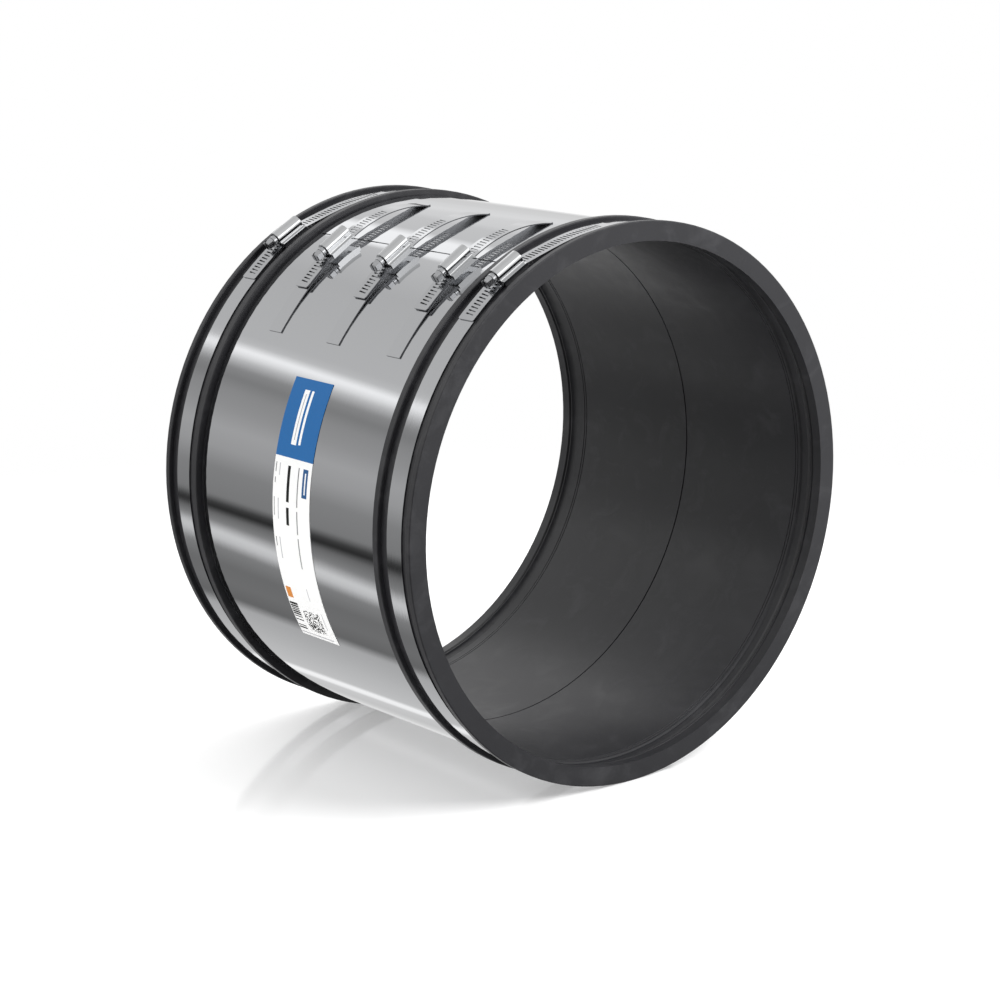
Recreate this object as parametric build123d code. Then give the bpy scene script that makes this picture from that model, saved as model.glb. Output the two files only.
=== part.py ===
from build123d import *
import math
import os

# Pipe coupling with a shear band, standing on one end.
# The axis is +Z, the lower end face is Z = 0, and the row of clamps faces -Y.
# All sizes are in millimetres, angles in degrees.

os.makedirs("parts", exist_ok=True)

row_direction = -90.0       # the clamp row, from +X about +Z
full_turn = 360.0

# Moulded rubber sleeve
pipe_diameter = 385.0       # largest pipe that the sleeve takes, which is its bore
sleeve_length = 300.0
seat_wall = 9.25            # rubber between the bore and the shear band
rib_height = 5.25           # ribs and end flanges above the shear band's seat
groove_depth = 3.5          # end clamp grooves below the ribs
flange_width = 5.0
groove_width = 30.5
rib_width = 6.0
rubber_edge = 0.9           # radius on the outer edges of ribs and flanges
entry_length = 8.0          # plain bore at each mouth, where the pipe is gripped
lip_groove_width = 2.0      # sharp groove behind the plain bore
lip_groove_depth = 1.8
lip_width = 0.8             # crest between the groove and the channel
lip_tip_depth = 0.6         # the lip's edge stands back from the pipe
channel_width = 11.5        # rounded sealing channel behind the lip
channel_depth = 3.0
main_relief = 1.8           # the middle of the sleeve is wider than the bore
fine_groove_width = 0.9     # two fine grooves past the channel
fine_groove_depth = 0.8
fine_groove_pitch = 2.4
centre_groove_width = 1.2
centre_groove_depth = 1.2

# Rolled shear band, a sheet whose ends lap under the clamps
sheet = 0.4
seat_gap = 0.05             # between two curved faces that lie on each other
band_low_gap = 3.0          # bare seat below and above the band
band_high_gap = 0.5
lap_edge = -22.6            # visible end of the sheet, round the band from the clamp row
lap_full = -105.9           # here the outer leaf lies on the inner one
lap_start = -264.7          # here the outer leaf begins to rise
inner_end = -98.8           # hidden end of the sheet
rise_arcs = 6               # arcs that make up the rise

# Clamp straps and housings, common to all five clamps
strap_thickness = 0.8
layer_gap = 0.08
housing_sheet = 0.8
housing_length = 23.7
housing_side_gap = 0.15
arch_radius = 5.3           # outside of the hump over the screw
arch_wall = 0.9
arch_foot_radius = 1.2
end_wall = 1.1
mouth_reach = 0.6           # straight strap outside the housing

# Slots pressed through the toothed straps
slot_pitch = 3.0
slot_width = 1.2
slot_length = 8.0
slot_slant = 7.0            # lead of the right-hand worm
slot_margin = 5.0           # plain strap before the first slot
tail_corner = 1.6
weld_corner = 3.0

# Screw
worm_radius = 3.7
worm_clearance = 0.5        # above the upper strap
neck_radius = 2.6
neck_gap = 0.3
tip_radius = 1.9
axial_gap = 0.3
collar_radius = 3.8
collar_length = 3.0
undercut_radius = 3.2
undercut_length = 0.6
hex_across_flats = 7.0
hex_length = 5.5
hex_chamfer = 0.5
drive_slot_width = 1.1
drive_slot_depth = 2.2

# Clamps on the shear band
shear_clamps = 3
shear_strap_width = 15.0
first_clamp_inset = 42.3    # from the band's lower edge to the first clamp's middle
last_clamp_inset = 29.7     # from the last clamp's middle to the band's upper edge
shear_ride = 3.2            # underside of the lower strap above the shear band
shear_housing_shift = -6.75  # housing's middle along the strap from the tangent point
fixed_end = 74.7            # places along the strap, measured round the band
fixed_toe = 68.8
tail_end = 36.0
tail_lift = 2.6             # underside of the free end above the shear band
strap_bend = -50.5
bend_lift = 5.8
toothed_toe = -89.6
toothed_end = -93.3
shear_slots = 30

# Two clamps in the end grooves
end_strap_width = 16.0
end_clamp_turn = -2.8       # this row sits a little further round than the others
end_strap_gap = 0.1         # strap to rubber
near_blend = 30.2           # the strap is back on the groove here, measured round it
far_blend = -46.2
end_tail = 47.4
end_slots = 44
plain_lap = 7.1             # plain strap past the last slot

# Label
label_thickness = 0.15
label_lift = 0.12           # its glue, above the band
label_width = 45.0
label_start = 103.7         # round the band from the clamp row
label_length = 199.3
label_drop = 0.8            # its middle below the middle of the clamp row

# Sizes that follow from the ones above
bore_r = pipe_diameter / 2
seat_r = bore_r + seat_wall
outer_r = seat_r + rib_height
groove_r = outer_r - groove_depth
main_r = bore_r + main_relief
mid_z = sleeve_length / 2
rib_z = flange_width + groove_width
seat_z = rib_z + rib_width
band_inner_r = seat_r + seat_gap
band_outer_r = band_inner_r + sheet
band_bottom = seat_z + band_low_gap
band_top = sleeve_length - seat_z - band_high_gap
first_clamp_z = band_bottom + first_clamp_inset
last_clamp_z = band_top - last_clamp_inset
lap_inner_r = band_outer_r + seat_gap
lap_outer_r = lap_inner_r + sheet
axis_lift = worm_clearance + worm_radius
hex_radius = hex_across_flats / math.sqrt(3)


def at(u, v):
    """A point of the clamp section: u along the strap, v out from the pipe's axis."""
    return Vector(u, -v)


def along(length, radius=band_outer_r):
    """Angle from the middle of the clamp row, for a length measured round this radius."""
    return math.degrees(length / radius)


def on_ring(radius, angle):
    """A point at a radius and an angle from the middle of the clamp row."""
    turn = math.radians(angle)
    return at(radius * math.sin(turn), radius * math.cos(turn))


def ring_tangent(angle):
    """The direction round the pipe, towards rising angles."""
    turn = math.radians(angle)
    return Vector(math.cos(turn), math.sin(turn))


def ring_arc(radius, start, end):
    return CenterArc((0, 0), radius, start + row_direction, end - start)


def strip(outline, width, z):
    """A strap of this outline, centred at height z."""
    return Pos(0, 0, z - width / 2) * extrude(make_face(outline), width)


def make_sleeve():
    lip_z = entry_length + lip_groove_width
    cove_z = lip_z + lip_width
    channel_z = cove_z + channel_width
    ramp_z = channel_z + channel_depth - main_relief
    lip_r = bore_r + lip_tip_depth
    channel_r = bore_r + channel_depth
    points = [
        (bore_r, 0),
        (outer_r, 0),
        (outer_r, flange_width),
        (groove_r, flange_width),
        (groove_r, rib_z),
        (outer_r, rib_z),
        (outer_r, seat_z),
        (seat_r, seat_z),
        (seat_r, mid_z),
        (main_r + centre_groove_depth, mid_z),
        (main_r + centre_groove_depth, mid_z - centre_groove_width / 2),
        (main_r, mid_z - centre_groove_width / 2),
    ]
    for i in (2, 1):
        middle = ramp_z + i * fine_groove_pitch
        points.append((main_r, middle + fine_groove_width / 2))
        points.append((main_r + fine_groove_depth, middle))
        points.append((main_r, middle - fine_groove_width / 2))
    points.append((main_r, ramp_z))
    points.append((channel_r, channel_z))
    points.append((channel_r, cove_z + channel_width / 2))
    outer = Polyline(*points)
    cove = TangentArc(
        (channel_r, cove_z + channel_width / 2),
        (lip_r, cove_z),
        tangent=(0, -1),
    )
    lip = Polyline(
        (lip_r, cove_z),
        (lip_r, lip_z),
        (bore_r + lip_groove_depth, entry_length + lip_groove_width / 2),
        (bore_r, entry_length),
        (bore_r, 0),
    )
    profile = make_face(outer.edges() + cove.edges() + lip.edges())
    rims = [v for v in profile.vertices() if abs(v.X - outer_r) < 1e-4]
    profile = fillet(rims, rubber_edge)
    lower = revolve(Plane.XZ * profile, Axis.Z)
    return lower + mirror(lower, about=Plane.XY.offset(mid_z))


def rise(radius, start, end):
    """A face of the sheet where it climbs onto the other leaf."""
    turn = (end - start) / rise_arcs
    climb = (lap_outer_r - band_outer_r) / rise_arcs
    arcs = []
    for i in range(rise_arcs):
        points = [
            on_ring(radius + step * climb, start + step * turn) for step in (i, i + 0.5, i + 1)
        ]
        arcs.append(ThreePointArc(*points))
    return arcs


def make_shear_band():
    inner = along(inner_end)
    edge = along(lap_edge) + full_turn
    full = along(lap_full) + full_turn
    start = along(lap_start) + full_turn
    outline = [
        ring_arc(band_outer_r, inner, start),
        *rise(band_outer_r, start, full),
        ring_arc(lap_outer_r, full, edge),
        Line(on_ring(lap_outer_r, edge), on_ring(lap_inner_r, edge)),
        ring_arc(lap_inner_r, full, edge),
        *rise(band_inner_r, start, full),
        ring_arc(band_inner_r, inner, start),
        Line(on_ring(band_inner_r, inner), on_ring(band_outer_r, inner)),
    ]
    return strip(outline, band_top - band_bottom, (band_top + band_bottom) / 2)


def make_label():
    inner = band_outer_r + label_lift
    outer = inner + label_thickness
    start = along(label_start)
    end = along(label_start + label_length)
    outline = [
        ring_arc(inner, start, end),
        ring_arc(outer, start, end),
        Line(on_ring(inner, start), on_ring(outer, start)),
        Line(on_ring(inner, end), on_ring(outer, end)),
    ]
    return strip(outline, label_width, (first_clamp_z + last_clamp_z) / 2 - label_drop)


def shear_stack():
    """Undersides of the lower and the upper strap, and the screw's axis."""
    lower = band_outer_r + shear_ride
    upper = lower + strap_thickness + layer_gap
    return lower, upper, upper + strap_thickness + axis_lift


def end_stack():
    lower = groove_r + seat_gap + housing_sheet + layer_gap
    upper = lower + strap_thickness + layer_gap
    return lower, upper, upper + strap_thickness + axis_lift


def cut_slots(strap, first_angle, radius, count, z):
    """Press a row of slanted slots through a strap, from its free end."""
    step = math.degrees(slot_pitch / radius)
    start = first_angle - math.degrees(slot_margin / radius)
    cutter = Box(slot_width, 6 * strap_thickness + 2 * shear_ride, slot_length)
    cutter = Rot(0, slot_slant, 0) * cutter
    places = []
    for i in range(count):
        angle = start - i * step
        places.append(Pos(0, 0, z) * Rot(0, 0, angle) * Pos(0, -radius, 0) * cutter)
    return strap - places


def round_corners(strap, corner, radius):
    """Round a strap's two corners beside this point."""
    near = []
    for edge in strap.edges().filter_by(GeomType.LINE):
        middle = edge.center()
        flat = math.hypot(middle.X - corner.X, middle.Y - corner.Y)
        if flat < strap_thickness and edge.length < 1.5 * strap_thickness:
            near.append(edge)
    return fillet(near, radius)


def make_fixed_strap(z):
    lower = shear_stack()[0]
    weld = band_outer_r + seat_gap
    toe_angle = along(fixed_toe)
    end_angle = along(fixed_end)
    clinched = shear_housing_shift - housing_length / 2 + end_wall
    mouth = shear_housing_shift + housing_length / 2 + mouth_reach
    outline = []
    for offset in (0, strap_thickness):
        toe = on_ring(weld + offset, toe_angle)
        outline.append(ring_arc(weld + offset, toe_angle, end_angle))
        outline.append(
            TangentArc(toe, at(mouth, lower + offset), tangent=-ring_tangent(toe_angle))
        )
        outline.append(Line(at(mouth, lower + offset), at(clinched, lower + offset)))
    outline.append(Line(on_ring(weld, end_angle), on_ring(weld + strap_thickness, end_angle)))
    outline.append(Line(at(clinched, lower), at(clinched, lower + strap_thickness)))
    return strip(outline, shear_strap_width, z)


def make_toothed_strap(z):
    upper = shear_stack()[1]
    weld = lap_outer_r + seat_gap
    near = shear_housing_shift + housing_length / 2 + mouth_reach
    far = shear_housing_shift - housing_length / 2 - mouth_reach
    tail_angle = along(tail_end)
    bend_angle = along(strap_bend)
    toe_angle = along(toothed_toe)
    end_angle = along(toothed_end)
    outline = []
    for offset in (0, strap_thickness):
        tail = on_ring(band_outer_r + tail_lift + offset, tail_angle)
        bend = on_ring(band_outer_r + bend_lift + offset, bend_angle)
        toe = on_ring(weld + offset, toe_angle)
        outline.append(
            TangentArc(tail, at(near, upper + offset), tangent=-ring_tangent(tail_angle))
        )
        outline.append(Line(at(near, upper + offset), at(far, upper + offset)))
        crown = TangentArc(at(far, upper + offset), bend, tangent=(-1, 0))
        outline.append(crown)
        outline.append(TangentArc(bend, toe, tangent=crown % 1))
        outline.append(ring_arc(weld + offset, end_angle, toe_angle))
    for radius, angle in ((band_outer_r + tail_lift, tail_angle), (weld, end_angle)):
        outline.append(Line(on_ring(radius, angle), on_ring(radius + strap_thickness, angle)))
    strap = strip(outline, shear_strap_width, z)
    half = strap_thickness / 2
    tail_point = on_ring(band_outer_r + tail_lift + half, tail_angle)
    strap = round_corners(strap, tail_point, tail_corner)
    strap = round_corners(strap, on_ring(weld + half, end_angle), weld_corner)
    return cut_slots(strap, tail_angle, upper + half, shear_slots, z)


def make_end_band(z):
    """One long strap: under the housing, round the sleeve and back over itself."""
    lower, upper = end_stack()[:2]
    ring = groove_r + end_strap_gap
    mouth = housing_length / 2 + mouth_reach
    clinched = end_wall - housing_length / 2
    near_angle = along(near_blend, ring)
    far_angle = along(far_blend, ring)
    tail_angle = along(end_tail, ring)
    split = end_tail - slot_margin - slot_pitch * end_slots - plain_lap
    split_angle = along(split, ring)
    tail_r = ring + strap_thickness + layer_gap
    under = []
    over = []
    for offset in (0, strap_thickness):
        near_point = on_ring(ring + offset, near_angle)
        under.append(Line(at(clinched, lower + offset), at(mouth, lower + offset)))
        under.append(
            TangentArc(near_point, at(mouth, lower + offset), tangent=-ring_tangent(near_angle))
        )
        under.append(ring_arc(ring + offset, near_angle, full_turn + split_angle))
        far_point = on_ring(ring + offset, far_angle)
        tail = on_ring(tail_r + offset, tail_angle)
        over.append(ring_arc(ring + offset, split_angle, far_angle))
        over.append(
            TangentArc(far_point, at(-mouth, upper + offset), tangent=ring_tangent(far_angle))
        )
        over.append(Line(at(-mouth, upper + offset), at(mouth, upper + offset)))
        over.append(
            TangentArc(tail, at(mouth, upper + offset), tangent=-ring_tangent(tail_angle))
        )
    joint = Line(on_ring(ring, split_angle), on_ring(ring + strap_thickness, split_angle))
    under.append(joint)
    under.append(Line(at(clinched, lower), at(clinched, lower + strap_thickness)))
    over.append(joint)
    over.append(Line(on_ring(tail_r, tail_angle), on_ring(tail_r + strap_thickness, tail_angle)))
    top_strap = strip(over, end_strap_width, z)
    tail_point = on_ring(tail_r + strap_thickness / 2, tail_angle)
    top_strap = round_corners(top_strap, tail_point, tail_corner)
    top_strap = cut_slots(top_strap, tail_angle, ring + strap_thickness, end_slots, z)
    return strip(under, end_strap_width, z) + top_strap


def housing_section(strap_width, lower, upper, axis):
    """Outline of the housing and of the space inside it, across the strap."""
    base_width = strap_width + 2 * (housing_side_gap + housing_sheet)
    base_bottom = lower - layer_gap - housing_sheet
    roof = upper + strap_thickness + layer_gap
    base_top = roof + housing_sheet
    base = Pos(0, (base_bottom + base_top) / 2) * Rectangle(base_width, base_top - base_bottom)
    legs = Pos(0, (base_bottom + axis) / 2) * Rectangle(2 * arch_radius, axis - base_bottom)
    outside = base + legs + Pos(0, axis) * Circle(arch_radius)
    feet = [
        v for v in outside.vertices()
        if abs(abs(v.X) - arch_radius) < 1e-4 and abs(v.Y - base_top) < 1e-4
    ]
    outside = fillet(feet, arch_foot_radius)
    slot_height = roof - lower + layer_gap
    slot = Pos(0, roof - slot_height / 2) * Rectangle(
        strap_width + 2 * housing_side_gap, slot_height
    )
    inside_r = arch_radius - arch_wall
    well = Pos(0, (roof + axis) / 2 - layer_gap) * Rectangle(
        2 * inside_r, axis - roof + 2 * layer_gap
    )
    return outside, slot, well + Pos(0, axis) * Circle(inside_r)


def make_housing(strap_width, stack, shift, z):
    """Housing folded from sheet round both straps, closed at its ends round the screw."""
    lower, upper, axis = stack
    outside, slot, well = housing_section(strap_width, lower, upper, axis)
    start = shift - housing_length / 2
    plane = Plane(origin=(start, 0, z), x_dir=(0, 0, 1), z_dir=(1, 0, 0))
    inner_plane = plane.offset(end_wall)
    body = extrude(plane * outside, housing_length)
    body -= extrude(plane * slot, housing_length)
    body -= extrude(inner_plane * well, housing_length - 2 * end_wall)
    tip_hole = plane * Pos(0, axis) * Circle(tip_radius + neck_gap)
    neck_hole = plane.offset(housing_length - end_wall) * Pos(0, axis) * Circle(
        neck_radius + neck_gap
    )
    body -= extrude(tip_hole, end_wall)
    body -= extrude(neck_hole, end_wall)
    return body


def make_screw(stack, shift, z):
    """Worm between the housing's end walls, with a slotted hexagon head outside."""
    axis = stack[2]
    worm_start = end_wall + axial_gap
    worm_end = housing_length - end_wall - axial_gap
    collar_start = housing_length + axial_gap
    collar_end = collar_start + collar_length
    hex_start = collar_end + undercut_length
    turned = Polyline(
        (0, 0),
        (0, tip_radius),
        (worm_start, tip_radius),
        (worm_start, worm_radius),
        (worm_end, worm_radius),
        (worm_end, neck_radius),
        (collar_start, neck_radius),
        (collar_start, collar_radius),
        (collar_end, collar_radius),
        (collar_end, undercut_radius),
        (hex_start, undercut_radius),
        (hex_start, 0),
        (0, 0),
    )
    shank = revolve(make_face(turned), Axis.X)
    hexagon = extrude(
        Plane(origin=(hex_start, 0, 0), x_dir=(0, 1, 0), z_dir=(1, 0, 0))
        * RegularPolygon(hex_radius, 6),
        hex_length,
    )
    hexagon = chamfer(hexagon.faces().sort_by(Axis.X)[-1].edges(), hex_chamfer)
    drive_slot = Pos(hex_start + hex_length, 0, 0) * Box(
        2 * drive_slot_depth, 3 * hex_radius, drive_slot_width
    )
    screw = shank + (hexagon - drive_slot)
    return Pos(shift - housing_length / 2, -axis, z) * screw


def clamp_row():
    """All pieces of the clamps on the shear band, by name."""
    pieces = {}
    stack = shear_stack()
    pitch = (last_clamp_z - first_clamp_z) / (shear_clamps - 1)
    for i in range(shear_clamps):
        z = first_clamp_z + i * pitch
        name = f"shear_clamp_{i + 1}"
        pieces[f"{name}_fixed_strap"] = make_fixed_strap(z)
        pieces[f"{name}_toothed_strap"] = make_toothed_strap(z)
        pieces[f"{name}_housing"] = make_housing(
            shear_strap_width, stack, shear_housing_shift, z
        )
        pieces[f"{name}_screw"] = make_screw(stack, shear_housing_shift, z)
    return pieces


def end_clamps():
    """The two clamps that close the sleeve's ends on the pipes, by name."""
    pieces = {}
    stack = end_stack()
    groove_z = flange_width + groove_width / 2
    turn = Rot(0, 0, end_clamp_turn)
    for name, z in (("lower", groove_z), ("upper", sleeve_length - groove_z)):
        pieces[f"{name}_end_clamp_band"] = turn * make_end_band(z)
        pieces[f"{name}_end_clamp_housing"] = turn * make_housing(
            end_strap_width, stack, 0, z
        )
        pieces[f"{name}_end_clamp_screw"] = turn * make_screw(stack, 0, z)
    return pieces


parts = {
    "rubber_sleeve": make_sleeve(),
    "shear_band": make_shear_band(),
    "label": make_label(),
}
parts.update(clamp_row())
parts.update(end_clamps())

for node, shape in parts.items():
    export_step(shape, f"parts/{node}.step")
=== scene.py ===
# Looks of a rubber pipe sleeve with a rolled steel shear band and five worm-drive clamps.
# Everything is in metres. The sleeve's axis is Z and the clamp row faces -Y.
import math

import bpy
from mathutils import Matrix, Vector


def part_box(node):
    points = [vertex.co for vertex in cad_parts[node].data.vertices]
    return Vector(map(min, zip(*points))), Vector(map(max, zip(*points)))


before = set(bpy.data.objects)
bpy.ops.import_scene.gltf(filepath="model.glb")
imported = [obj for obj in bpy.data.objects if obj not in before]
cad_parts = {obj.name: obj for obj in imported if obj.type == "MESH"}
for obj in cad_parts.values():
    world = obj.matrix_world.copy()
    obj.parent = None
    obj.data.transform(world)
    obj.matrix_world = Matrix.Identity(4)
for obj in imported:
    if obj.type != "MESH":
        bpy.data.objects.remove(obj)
bpy.context.view_layer.update()
mm = 0.001
print("frame loaded,", len(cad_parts), "pieces")

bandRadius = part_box("shear_band")[1].x
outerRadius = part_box("rubber_sleeve")[1].x
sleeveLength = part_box("rubber_sleeve")[1].z
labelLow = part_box("label")[0].z


def hexColor(code):    # #rrggbb to linear
    channels = [int(code[i:i + 2], 16) / 255 for i in (1, 3, 5)]
    return [c / 12.92 if c < 0.04045 else ((c + 0.055) / 1.055) ** 2.4 for c in channels] + [1.0]


def addNode(tree, kind, inputs=None, **settings):    # a node given as an input stands for its first output
    node = tree.nodes.new(kind)
    for name, value in settings.items():
        setattr(node, name, value)
    for name, value in (inputs or {}).items():
        if isinstance(value, bpy.types.Node):
            value = value.outputs[0]
        socket = node.inputs[name]
        if isinstance(value, bpy.types.NodeSocket):
            tree.links.new(value, socket)
        else:
            socket.default_value = value
    return node


def newMaterial(name):
    material = bpy.data.materials.new(name)
    material.use_nodes = True
    tree = material.node_tree
    tree.nodes.clear()
    return material, tree


def objectPoint(tree, scale=(1, 1, 1)):    # scale is one over the size of a feature, in metres
    point = addNode(tree, "ShaderNodeTexCoord").outputs["Object"]
    return addNode(tree, "ShaderNodeMapping", {"Vector": point, "Scale": scale})


# Camera
# The photo shows the sleeve lying on its side, so the camera is rolled about the sleeve's axis.
# Directions and places in view are given as right, down and ahead.
cameraSetup = {
    "lens": 94.74,
    "sensor": 36.0,
    "clip": (0.05, 60),
    "axisInView": (-0.64012, -0.17320, 0.74850),    # from the upper mouth to the lower one
    "mouthInView": (0.09793, 0.00551, 1.89742),     # centre of the upper mouth
    "rowTurn": -41.35,                              # degrees
}


def makeCamera(setup):
    axis = Vector(setup["axisInView"]).normalized()
    across = axis.cross(Vector((0, 1, 0))).normalized()
    other = axis.cross(across)
    turn = math.radians(setup["rowTurn"])
    xInView = across * math.cos(turn) + other * math.sin(turn)
    yInView = across * math.sin(turn) - other * math.cos(turn)
    viewFromModel = Matrix((xInView, yInView, -axis)).transposed()
    start = Vector(setup["mouthInView"]) - viewFromModel @ Vector((0, 0, sleeveLength))
    modelFromView = viewFromModel.transposed()
    data = bpy.data.cameras.new("studioCamera")
    data.lens = setup["lens"]
    data.sensor_width = setup["sensor"]
    data.clip_start, data.clip_end = setup["clip"]
    camera = bpy.data.objects.new("studioCamera", data)
    bpy.context.scene.collection.objects.link(camera)
    flip = Matrix(((1, 0, 0), (0, -1, 0), (0, 0, -1)))    # a camera's own axes are right, up and behind
    place = (modelFromView @ flip).to_4x4()
    place.translation = modelFromView @ -start
    camera.matrix_world = place
    bpy.context.scene.camera = camera
    return camera


camera = makeCamera(cameraSetup)
bpy.context.scene.view_settings.view_transform = "Standard"
print("camera at", [round(c, 3) for c in camera.matrix_world.translation])


# Studio
# Azimuth is from +X about +Z, elevation from the level of the sleeve's end faces. All angles in degrees.
studio = {
    "floorAzimuth": 57.08,       # the side of the sleeve that lies on the floor
    "floorSize": 6.0,
    "floorGap": 0.0001,
    "floorColor": "#f4f4f4",
    "floorRoughness": 0.10,
    "floorGlow": 0.30,
    "floorClear": (0.55, 1.1),   # the floor fades out between these distances from the sleeve
    "softBoxAzimuth": -147,
    "softBoxElevation": 48,
    "softBoxSize": 0.75,
    "softBoxDistance": 1.25,
    "softBoxPower": 16.0,
    "wallLevel": 1.4,            # white walls below, dimmer ones above
    "ceilingLevel": 0.4,
    "blend": (-5, 20),           # elevations between which the walls change over
}
# A bright panel overhead that the domes of the housings mirror: azimuths, elevations, soft edge and
# brightness.
overheadPanel = {"azimuth": (-176, -118), "elevation": (54, 80), "edge": 3, "level": 2.2}

# Panels round the sleeve, as seen in the steel: azimuth and brightness, below and above the blend.
panelStops = [
    (-180, 0.86), (-175, 0.77), (-163, 0.77), (-158, 1.3), (-147, 1.3), (-144, 0.74), (-119, 0.63),
    (-80, 0.67), (-76.5, 0.75), (-73, 1.35), (-70.5, 1.1), (-68, 0.72), (-64, 0.37), (-59.5, 0.30),
    (-54, 0.38), (-46, 0.43), (-37.5, 0.53), (-29, 0.48), (-20, 0.33), (-8, 0.29), (-4.5, 0.07),
    (-2, 0.03), (0, 0.13), (1, 0.2), (5.5, 0.32), (11, 0.88), (14, 0.78), (18.5, 0.31), (27, 0.22),
    (36, 0.23), (44.5, 0.19), (50, 0.56), (69, 0.66), (83.5, 0.7), (87, 1.18), (90.5, 1.12),
    (93.5, 0.74), (102, 0.66), (112, 0.76), (137, 1.0), (157, 0.71), (169, 0.83), (175, 0.92), (180, 0.86),
]
ceilingStops = [
    (-180, 0.9), (-130, 0.8), (-90, 0.55), (-50, 0.08), (0, 0.08), (112, 0.08), (150, 1.1), (180, 0.9),
]
# The panels lean: degrees of azimuth for each degree of elevation above the level at which they are given.
leanStops = [(-180, 1.8), (-60, 1.8), (-8, 0.4), (0, 0.5), (8, 1.4), (30, 1.0), (88, -1.3), (180, -1.3)]
lean = {
    "level": -52.5,
    "reach": 6.0,    # degrees of elevation, up and down, past which the panels stand straight
    "most": 2.0,     # a ramp holds no minus values, so leans from minus to plus this are stored as 0 to 1
}


def azimuthRamp(tree, azimuth, levels):    # two ramps, because one holds 32 stops at most
    halves = []
    for low, high in ((-180, 0), (0, 180)):
        place = addNode(tree, "ShaderNodeMapRange", {"Value": azimuth, "From Min": low, "From Max": high})
        ramp = addNode(tree, "ShaderNodeValToRGB", {"Fac": place})
        stops = ramp.color_ramp.elements
        inside = [(angle, level) for angle, level in levels if low <= angle <= high]
        for i, (angle, level) in enumerate(inside):
            if i == 0:
                stop = stops[0]
            elif i == len(inside) - 1:
                stop = stops[len(stops) - 1]
            else:
                stop = stops.new((angle - low) / (high - low))
            stop.color = (level, level, level, 1)
        halves.append(ramp.outputs["Color"])
    side = addNode(tree, "ShaderNodeMath", {0: azimuth, 1: 0.0}, operation="GREATER_THAN")
    both = addNode(tree, "ShaderNodeMix", {"Factor": side, "A": halves[0], "B": halves[1]},
                   data_type="RGBA")
    return both.outputs["Result"]


def leanedAzimuth(tree, azimuth, height):
    above = addNode(tree, "ShaderNodeMath", {0: height, 1: lean["level"]}, operation="SUBTRACT")
    above = addNode(tree, "ShaderNodeClamp", {"Value": above, "Min": -lean["reach"], "Max": lean["reach"]})
    most = lean["most"]
    share = azimuthRamp(tree, azimuth, [(angle, 0.5 + tilt / (2 * most)) for angle, tilt in leanStops])
    tilt = addNode(tree, "ShaderNodeMapRange", {"Value": share, "To Min": -most, "To Max": most})
    shift = addNode(tree, "ShaderNodeMath", {0: above, 1: tilt}, operation="MULTIPLY")
    return addNode(tree, "ShaderNodeMath", {0: azimuth, 1: shift}, operation="SUBTRACT")


def insidePanel(tree, azimuth, height):    # 1 inside the overhead panel, 0 outside
    sides = []
    for value, (low, high) in ((azimuth, overheadPanel["azimuth"]), (height, overheadPanel["elevation"])):
        half = (high - low) / 2
        off = addNode(tree, "ShaderNodeMath", {0: value, 1: (low + high) / 2}, operation="SUBTRACT")
        off = addNode(tree, "ShaderNodeMath", {0: off}, operation="ABSOLUTE")
        sides.append(addNode(tree, "ShaderNodeMapRange", {"Value": off, "From Max": half,
                                                          "From Min": half + overheadPanel["edge"]}))
    return addNode(tree, "ShaderNodeMath", {0: sides[0], 1: sides[1]}, operation="MULTIPLY")


def makeWorld():    # the camera sees white, mirrors see the panels, and everything else is lit by the walls
    world = bpy.data.worlds.new("studioWalls")
    bpy.context.scene.world = world
    world.use_nodes = True
    tree = world.node_tree
    tree.nodes.clear()
    direction = addNode(tree, "ShaderNodeTexCoord").outputs["Generated"]
    parts = addNode(tree, "ShaderNodeSeparateXYZ", {"Vector": direction}).outputs
    azimuth = addNode(tree, "ShaderNodeMath", {0: parts["Y"], 1: parts["X"]}, operation="ARCTAN2")
    azimuth = addNode(tree, "ShaderNodeMath", {0: azimuth}, operation="DEGREES")
    height = addNode(tree, "ShaderNodeMath", {0: parts["Z"]}, operation="ARCSINE")
    height = addNode(tree, "ShaderNodeMath", {0: height}, operation="DEGREES")
    low, high = studio["blend"]
    over = addNode(tree, "ShaderNodeMapRange", {"Value": height, "From Min": low, "From Max": high},
                   interpolation_type="SMOOTHSTEP")
    below = azimuthRamp(tree, leanedAzimuth(tree, azimuth, height), panelStops)
    above = azimuthRamp(tree, azimuth, ceilingStops)
    around = addNode(tree, "ShaderNodeMix", {"Factor": over, "A": below, "B": above}, data_type="RGBA")
    bright = [overheadPanel["level"]] * 3 + [1]
    mirrored = addNode(tree, "ShaderNodeMix", {"Factor": insidePanel(tree, azimuth, height),
                                               "A": around.outputs["Result"], "B": bright},
                       data_type="RGBA")
    fill = addNode(tree, "ShaderNodeMapRange", {"Value": over, "To Min": studio["wallLevel"],
                                                "To Max": studio["ceilingLevel"]})
    path = addNode(tree, "ShaderNodeLightPath").outputs
    panels = addNode(tree, "ShaderNodeBackground", {"Color": mirrored.outputs["Result"]})
    walls = addNode(tree, "ShaderNodeBackground", {"Color": (1, 1, 1, 1), "Strength": fill})
    backdrop = addNode(tree, "ShaderNodeBackground", {"Color": (1, 1, 1, 1)})
    lit = addNode(tree, "ShaderNodeMixShader", {0: path["Is Glossy Ray"], 1: walls, 2: panels})
    seen = addNode(tree, "ShaderNodeMixShader", {0: path["Is Camera Ray"], 1: lit, 2: backdrop})
    addNode(tree, "ShaderNodeOutputWorld", {"Surface": seen})


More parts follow.
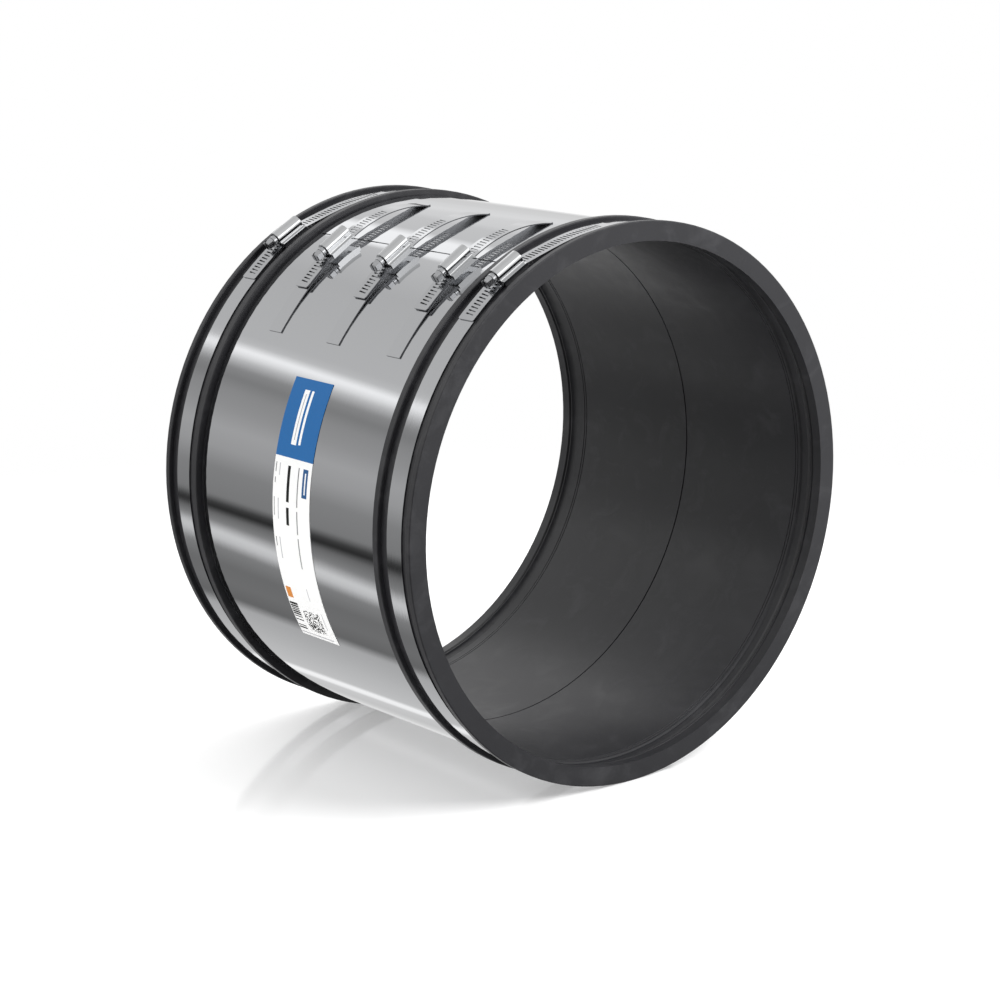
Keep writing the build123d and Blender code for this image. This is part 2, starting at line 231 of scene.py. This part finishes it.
def makeFloor():
    azimuth = math.radians(studio["floorAzimuth"])
    down = Vector((math.cos(azimuth), math.sin(azimuth), 0))
    along = Vector((-down.y, down.x, 0))
    centre = down * (outerRadius + studio["floorGap"]) + Vector((0, 0, sleeveLength / 2))
    half = studio["floorSize"] / 2
    corners = [centre + along * (a * half) + Vector((0, 0, b * half))
               for a, b in ((1, 1), (1, -1), (-1, -1), (-1, 1))]
    mesh = bpy.data.meshes.new("studioFloor")
    mesh.from_pydata([tuple(c) for c in corners], [], [(0, 1, 2, 3)])
    if mesh.polygons[0].normal.dot(down) > 0:
        mesh.flip_normals()
    floor = bpy.data.objects.new("studioFloor", mesh)
    bpy.context.scene.collection.objects.link(floor)
    material, tree = newMaterial("studioFloor")
    paint = addNode(tree, "ShaderNodeBsdfPrincipled", {"Base Color": hexColor(studio["floorColor"]),
                                                       "Roughness": studio["floorRoughness"],
                                                       "Emission Color": (1, 1, 1, 1),
                                                       "Emission Strength": studio["floorGlow"]})
    clear = addNode(tree, "ShaderNodeBsdfTransparent")
    behind = addNode(tree, "ShaderNodeNewGeometry").outputs["Backfacing"]    # clear for views from below
    point = addNode(tree, "ShaderNodeTexCoord").outputs["Object"]
    offset = addNode(tree, "ShaderNodeVectorMath", {0: point, 1: tuple(centre)}, operation="DISTANCE")
    near, far = studio["floorClear"]
    fade = addNode(tree, "ShaderNodeMapRange", {"Value": offset.outputs["Value"], "From Min": near,
                                                "From Max": far}, interpolation_type="SMOOTHSTEP")
    clearness = addNode(tree, "ShaderNodeMath", {0: behind, 1: fade}, operation="MAXIMUM")
    mix = addNode(tree, "ShaderNodeMixShader", {0: clearness, 1: paint, 2: clear})
    addNode(tree, "ShaderNodeOutputMaterial", {"Surface": mix})
    mesh.materials.append(material)
    floor.visible_glossy = False    # the steel mirrors the panels instead


def makeSoftBox():
    azimuth = math.radians(studio["softBoxAzimuth"])
    elevation = math.radians(studio["softBoxElevation"])
    away = Vector((math.cos(elevation) * math.cos(azimuth), math.cos(elevation) * math.sin(azimuth),
                   math.sin(elevation)))
    data = bpy.data.lights.new("overheadSoftBox", "AREA")
    data.shape = "SQUARE"
    data.size = studio["softBoxSize"]
    data.energy = studio["softBoxPower"]
    light = bpy.data.objects.new("overheadSoftBox", data)
    bpy.context.scene.collection.objects.link(light)
    light.location = Vector((0, 0, sleeveLength / 2)) + away * studio["softBoxDistance"]
    light.rotation_mode = "QUATERNION"
    light.rotation_quaternion = (-away).to_track_quat("-Z", "Y")
    light.visible_camera = False
    light.visible_glossy = False    # the steel mirrors the panels instead


makeWorld()
makeFloor()
makeSoftBox()
print("studio ready")


# Moulded rubber: EPDM compression moulded in a bead-blasted steel mould, so black, dull and finely grained,
# with pale cloudy traces of the powder that keeps it from sticking.
rubber = {
    "color": "#222225",
    "worn": "#2b2b2e",
    "powder": "#5a5a5d",
    "powderShare": 0.22,
    "powderNoise": (0.52, 0.74),     # the powder comes in between these values of the noise
    "roughness": (0.30, 0.44),       # bare skin and powdered skin
    "roughnessNoise": (0.3, 0.7),
    "ior": 1.55,
    "grain": 0.9 * mm,               # mould grain, drawn coarser than real so that it shows
    "grainDepth": 0.05 * mm,
    "cloud": 70 * mm,                # slow change of tone from mould release
    "wipe": 26 * mm,                 # size of the powder traces
}


def mouldedRubber():
    material, tree = newMaterial("mouldedEpdmRubber")
    cloud = addNode(tree, "ShaderNodeTexNoise", {"Vector": objectPoint(tree), "Scale": 1 / rubber["cloud"],
                                                 "Detail": 3.0, "Roughness": 0.6})
    wipe = addNode(tree, "ShaderNodeTexNoise", {"Vector": objectPoint(tree), "Scale": 1 / rubber["wipe"],
                                                "Detail": 5.0, "Roughness": 0.65, "Distortion": 0.6})
    grain = addNode(tree, "ShaderNodeTexNoise", {"Vector": objectPoint(tree), "Scale": 1 / rubber["grain"],
                                                 "Detail": 2.0})
    tone = addNode(tree, "ShaderNodeMix", {"Factor": cloud.outputs["Fac"], "A": hexColor(rubber["color"]),
                                           "B": hexColor(rubber["worn"])}, data_type="RGBA")
    low, high = rubber["powderNoise"]
    trace = addNode(tree, "ShaderNodeMapRange", {"Value": wipe.outputs["Fac"], "From Min": low,
                                                 "From Max": high, "To Max": rubber["powderShare"]})
    tone = addNode(tree, "ShaderNodeMix", {"Factor": trace, "A": tone.outputs["Result"],
                                           "B": hexColor(rubber["powder"])}, data_type="RGBA")
    low, high = rubber["roughnessNoise"]
    dull = addNode(tree, "ShaderNodeMapRange", {"Value": wipe.outputs["Fac"], "From Min": low,
                                                "From Max": high, "To Min": rubber["roughness"][0],
                                                "To Max": rubber["roughness"][1]})
    bump = addNode(tree, "ShaderNodeBump", {"Height": grain.outputs["Fac"], "Strength": 0.6,
                                            "Distance": rubber["grainDepth"]})
    skin = addNode(tree, "ShaderNodeBsdfPrincipled", {"Base Color": tone.outputs["Result"],
                                                      "Roughness": dull, "IOR": rubber["ior"],
                                                      "Normal": bump})
    addNode(tree, "ShaderNodeOutputMaterial", {"Surface": skin})
    return material


# Rolled stainless steel: bright strip with rolling lines that run round the sleeve, and dull slit edges.
# The straps' inner side, pressed through by the slots, is duller than the outer one.
# Each has its roughness, and the width, length and depth of its rolling lines. Strip that was slit to its
# width also has the roughness of its inner side.
steels = {
    "shearBandSteel": {"color": "#cfd0d2", "roughness": 0.032, "line": 0.9 * mm, "length": 45 * mm,
                       "depth": 0.010 * mm, "inner": 0.032},
    "strapSteel": {"color": "#cdced0", "roughness": 0.05, "line": 0.8 * mm, "length": 18 * mm,
                   "depth": 0.020 * mm, "inner": 0.5},
    "housingSteel": {"color": "#d2d3d4", "roughness": 0.09, "line": 0.9 * mm, "length": 14 * mm,
                     "depth": 0.020 * mm},
    "screwSteel": {"color": "#bfc0c2", "roughness": 0.24, "line": 0.7 * mm, "length": 2 * mm,
                   "depth": 0.030 * mm},
}
rolling = {
    "cloud": 25 * mm,        # slow change of gloss
    "noise": (0.6, 1.4),     # sum of the two noises at which the steel is brightest and dullest
    "spread": 0.3,           # share by which the roughness varies
}
slitEdge = {
    "color": "#76777a",
    "roughness": 0.4,
    "facing": (0.6, 0.8),    # share of the normal along the sleeve's axis
    "inward": (-0.2, -0.5),  # share of the normal away from the axis, where the inner side begins
}


def rolledSteel(name):
    steel = steels[name]
    material, tree = newMaterial(name)
    lines = objectPoint(tree, (1 / steel["length"], 1 / steel["length"], 1 / steel["line"]))
    streak = addNode(tree, "ShaderNodeTexNoise", {"Vector": lines, "Scale": 1.0, "Detail": 3.0,
                                                  "Roughness": 0.65})
    cloud = addNode(tree, "ShaderNodeTexNoise", {"Vector": objectPoint(tree), "Scale": 1 / rolling["cloud"],
                                                 "Detail": 2.0})
    both = addNode(tree, "ShaderNodeMath", {0: streak.outputs["Fac"], 1: cloud.outputs["Fac"]},
                   operation="ADD")
    low, high = rolling["noise"]
    dull = addNode(tree, "ShaderNodeMapRange", {"Value": both, "From Min": low, "From Max": high,
                                                "To Min": steel["roughness"] * (1 - rolling["spread"]),
                                                "To Max": steel["roughness"] * (1 + rolling["spread"])})
    bump = addNode(tree, "ShaderNodeBump", {"Height": streak.outputs["Fac"], "Strength": 0.5,
                                            "Distance": steel["depth"]})
    metal = addNode(tree, "ShaderNodeBsdfPrincipled", {"Base Color": hexColor(steel["color"]),
                                                       "Metallic": 1.0, "Roughness": dull, "Normal": bump})
    if "inner" in steel:
        normal = addNode(tree, "ShaderNodeTexCoord").outputs["Normal"]
        facing = addNode(tree, "ShaderNodeSeparateXYZ", {"Vector": normal}).outputs["Z"]
        facing = addNode(tree, "ShaderNodeMath", {0: facing}, operation="ABSOLUTE")
        low, high = slitEdge["facing"]
        edge = addNode(tree, "ShaderNodeMapRange", {"Value": facing, "From Min": low, "From Max": high})
        color = addNode(tree, "ShaderNodeMix", {"Factor": edge, "A": hexColor(steel["color"]),
                                                "B": hexColor(slitEdge["color"])}, data_type="RGBA")
        outward = addNode(tree, "ShaderNodeVectorMath", {0: objectPoint(tree), 1: (1, 1, 0)},
                          operation="MULTIPLY")
        outward = addNode(tree, "ShaderNodeVectorMath", {0: outward}, operation="NORMALIZE")
        away = addNode(tree, "ShaderNodeVectorMath", {0: normal, 1: outward}, operation="DOT_PRODUCT")
        low, high = slitEdge["inward"]
        inner = addNode(tree, "ShaderNodeMapRange", {"Value": away.outputs["Value"], "From Min": low,
                                                     "From Max": high})
        sides = addNode(tree, "ShaderNodeMix", {"Factor": inner, "A": dull, "B": steel["inner"]})
        blend = addNode(tree, "ShaderNodeMix", {"Factor": edge, "A": sides, "B": slitEdge["roughness"]})
        tree.links.new(color.outputs["Result"], metal.inputs["Base Color"])
        tree.links.new(blend.outputs[0], metal.inputs["Roughness"])
    addNode(tree, "ShaderNodeOutputMaterial", {"Surface": metal})
    return material


# Printed label film: white satin film with fields of ink. Places are s along the label and t across it,
# in millimetres.
label = {
    "startAzimuth": -60.62,      # degrees, the label's end nearest the clamps
    "film": "#fafaf9",
    "blue": "#1d67a7",
    "darkBlue": "#2a5a8c",
    "ink": "#161616",
    "greyInk": "#77777a",
    "paleInk": "#b4b4b8",
    "amber": "#d98a3c",
    "roughness": 0.38,
    "ior": 1.3,
    "fibre": 1.2 * mm,           # faint unevenness of the film on its glue
    "fibreDepth": 0.01 * mm,
}
# Each field: ink, s from and to, t from and to. A field of random marks also has the size of a mark along
# and across, and the share that is inked.
printFields = [
    ("blue", 0, 58, -1, 46),
    ("film", 8, 48.3, 15.7, 21.7),
    ("paleInk", 11, 45, 18.2, 19.2),
    ("film", 8, 47.6, 24.2, 26.8),
    ("darkBlue", 63.2, 84, 35, 41.1),
    ("film", 66, 81.5, 37.4, 38.8),
    ("ink", 63.6, 90, 16.6, 19.9),
    ("ink", 94, 107, 16.6, 19.9),
    ("greyInk", 63.3, 92, 29.2, 30.4),
    ("greyInk", 95, 112, 29.2, 30.4),
    ("greyInk", 115, 138, 29.2, 30.4),
    ("greyInk", 63, 70, 1.8, 2.8),
    ("greyInk", 74, 78, 1.8, 2.8),
    ("greyInk", 88.4, 102, 1.6, 2.4),
    ("greyInk", 118, 125, 1.9, 2.9),
    ("paleInk", 63, 72, 6.4, 7.4),
    ("paleInk", 88.6, 104, 6.4, 7.4),
    ("paleInk", 117.5, 134, 6.4, 7.4),
    ("amber", 157, 166, 1.6, 8.1),
    ("ink", 169.2, 193.4, 0.6, 10.2, 0.5, 60, 0.55),
    ("ink", 174.6, 193, 14.5, 34.6, 0.9, 0.9, 0.5),
    ("paleInk", 172.7, 187.6, 37.8, 38.6),
    ("paleInk", 154, 164.2, 28.7, 29.5),
    ("paleInk", 196.4, 197.4, 1, 40),
]
oneMark = (900, 900, 2)    # a mark larger than the label, always inked, for a plain field


def printBoxGroup():    # 1 inside a box on the label, broken up into marks of the size given
    group = bpy.data.node_groups.new("printField", "ShaderNodeTree")
    for name in ("s", "t", "sFrom", "sTo", "tFrom", "tTo", "markS", "markT", "share"):
        group.interface.new_socket(name, in_out="INPUT", socket_type="NodeSocketFloat")
    group.interface.new_socket("ink", in_out="OUTPUT", socket_type="NodeSocketFloat")
    given = addNode(group, "NodeGroupInput").outputs
    inside = []
    cells = []
    for value, low, high, size in (("s", "sFrom", "sTo", "markS"), ("t", "tFrom", "tTo", "markT")):
        over = addNode(group, "ShaderNodeMath", {0: given[value], 1: given[low]}, operation="GREATER_THAN")
        under = addNode(group, "ShaderNodeMath", {0: given[value], 1: given[high]}, operation="LESS_THAN")
        inside.append(addNode(group, "ShaderNodeMath", {0: over, 1: under}, operation="MULTIPLY"))
        ratio = addNode(group, "ShaderNodeMath", {0: given[value], 1: given[size]}, operation="DIVIDE")
        cells.append(addNode(group, "ShaderNodeMath", {0: ratio}, operation="FLOOR"))
    inBox = addNode(group, "ShaderNodeMath", {0: inside[0], 1: inside[1]}, operation="MULTIPLY")
    cell = addNode(group, "ShaderNodeCombineXYZ", {"X": cells[0], "Y": cells[1]})
    chance = addNode(group, "ShaderNodeTexWhiteNoise", {"Vector": cell}, noise_dimensions="2D")
    marked = addNode(group, "ShaderNodeMath", {0: chance.outputs["Value"], 1: given["share"]},
                     operation="LESS_THAN")
    ink = addNode(group, "ShaderNodeMath", {0: inBox, 1: marked}, operation="MULTIPLY")
    addNode(group, "NodeGroupOutput", {"ink": ink})
    return group


def printedFilm():
    material, tree = newMaterial("printedLabelFilm")
    point = addNode(tree, "ShaderNodeSeparateXYZ", {"Vector": objectPoint(tree)}).outputs
    azimuth = addNode(tree, "ShaderNodeMath", {0: point["Y"], 1: point["X"]}, operation="ARCTAN2")
    start = math.radians(label["startAzimuth"])
    along = addNode(tree, "ShaderNodeMath", {0: azimuth, 1: start}, operation="SUBTRACT")
    along = addNode(tree, "ShaderNodeMath", {0: along, 1: bandRadius / mm}, operation="MULTIPLY")
    across = addNode(tree, "ShaderNodeMath", {0: point["Z"], 1: labelLow}, operation="SUBTRACT")
    across = addNode(tree, "ShaderNodeMath", {0: across, 1: 1 / mm}, operation="MULTIPLY")
    group = printBoxGroup()
    color = hexColor(label["film"])
    for ink, sFrom, sTo, tFrom, tTo, *marks in printFields:
        markS, markT, share = marks or oneMark
        box = addNode(tree, "ShaderNodeGroup", node_tree=group)
        values = {"sFrom": sFrom, "sTo": sTo, "tFrom": tFrom, "tTo": tTo, "markS": markS, "markT": markT,
                  "share": share}
        for name, value in values.items():
            box.inputs[name].default_value = value
        tree.links.new(along.outputs[0], box.inputs["s"])
        tree.links.new(across.outputs[0], box.inputs["t"])
        layer = addNode(tree, "ShaderNodeMix", {"Factor": box, "A": color, "B": hexColor(label[ink])},
                        data_type="RGBA")
        color = layer.outputs["Result"]
    fibre = addNode(tree, "ShaderNodeTexNoise", {"Vector": objectPoint(tree), "Scale": 1 / label["fibre"],
                                                 "Detail": 2.0})
    bump = addNode(tree, "ShaderNodeBump", {"Height": fibre.outputs["Fac"], "Strength": 0.3,
                                            "Distance": label["fibreDepth"]})
    film = addNode(tree, "ShaderNodeBsdfPrincipled", {"Base Color": color, "Roughness": label["roughness"],
                                                      "IOR": label["ior"], "Normal": bump})
    addNode(tree, "ShaderNodeOutputMaterial", {"Surface": film})
    return material


def dress(node, material):
    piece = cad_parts[node]
    if piece.material_slots:
        for slot in piece.material_slots:
            slot.material = material
    else:
        piece.data.materials.append(material)


finishes = {
    "rubber_sleeve": mouldedRubber(),
    "shear_band": rolledSteel("shearBandSteel"),
    "label": printedFilm(),
    "strap": rolledSteel("strapSteel"),
    "housing": rolledSteel("housingSteel"),
    "screw": rolledSteel("screwSteel"),
}
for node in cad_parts:
    kind = node.split("_")[-1]
    if node in finishes:
        dress(node, finishes[node])
    elif kind in ("screw", "housing"):
        dress(node, finishes[kind])
    else:
        dress(node, finishes["strap"])
print("finishes on", len(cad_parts), "pieces")

bpy.context.view_layer.update()
